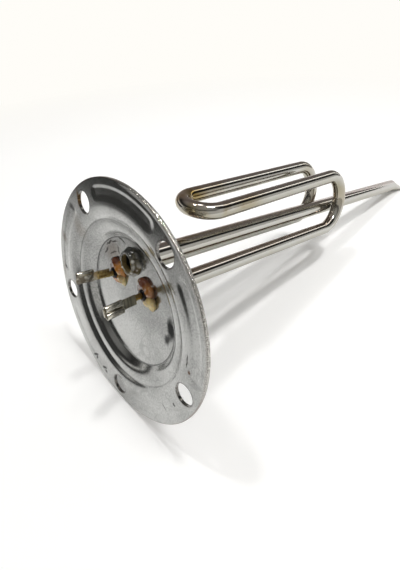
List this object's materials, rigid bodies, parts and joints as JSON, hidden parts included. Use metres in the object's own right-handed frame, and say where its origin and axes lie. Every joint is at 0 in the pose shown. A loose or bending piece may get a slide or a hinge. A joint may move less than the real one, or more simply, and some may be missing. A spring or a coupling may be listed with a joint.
{
  "type": "water heater element",
  "caption": "Flanged immersion heater: folded tubular element, blind sensor pocket and push-on terminals on a pressed round flange, bolted over a storage tank's opening.",
  "frame": {"origin": "centre of the flange's bolt circle, on the terminal face of its flat rim", "axes": "+Y runs along the tubes into the tank, square to the flange, +X is to the right seen from the terminals, +Z points from the flange centre towards the folded-back loop"},
  "size_m": [0.115, 0.32, 0.115],
  "materials": {
    "pressed_steel": "satin, lightly stained",
    "tube_steel": "polished",
    "weld_metal": "as welded",
    "packed_powder": "compacted powder",
    "coil_wire": "drawn wire",
    "pin_brass": "dull",
    "black_bush": "glossy black",
    "amber_resin": "cured resin, glossy",
    "cream_resin": "cured resin, satin",
    "plated_sheet": "tin plated",
    "dark_braze": "oxidised, glassy",
    "pale_braze": "as brazed"
  },
  "bodies": {
    "root": {"flange": "pressed_steel", "heater_sheath": "tube_steel", "insulating_powder": "packed_powder", "resistance_coil": "coil_wire", "terminal_pin_left": "pin_brass", "terminal_pin_right": "pin_brass", "insulating_bush_left": "black_bush", "insulating_bush_right": "black_bush", "resin_seal_left": "amber_resin", "resin_seal_right": "amber_resin", "resin_run_left": "cream_resin", "resin_run_right": "cream_resin", "blade_receptacle_left": "plated_sheet", "blade_receptacle_right": "plated_sheet", "sensor_pocket": "tube_steel", "pocket_end_weld": "weld_metal", "pocket_collar": "dark_braze", "braze_leg_left": "pale_braze", "braze_leg_right": "pale_braze", "braze_pocket": "pale_braze"}
  },
  "joints": []
}
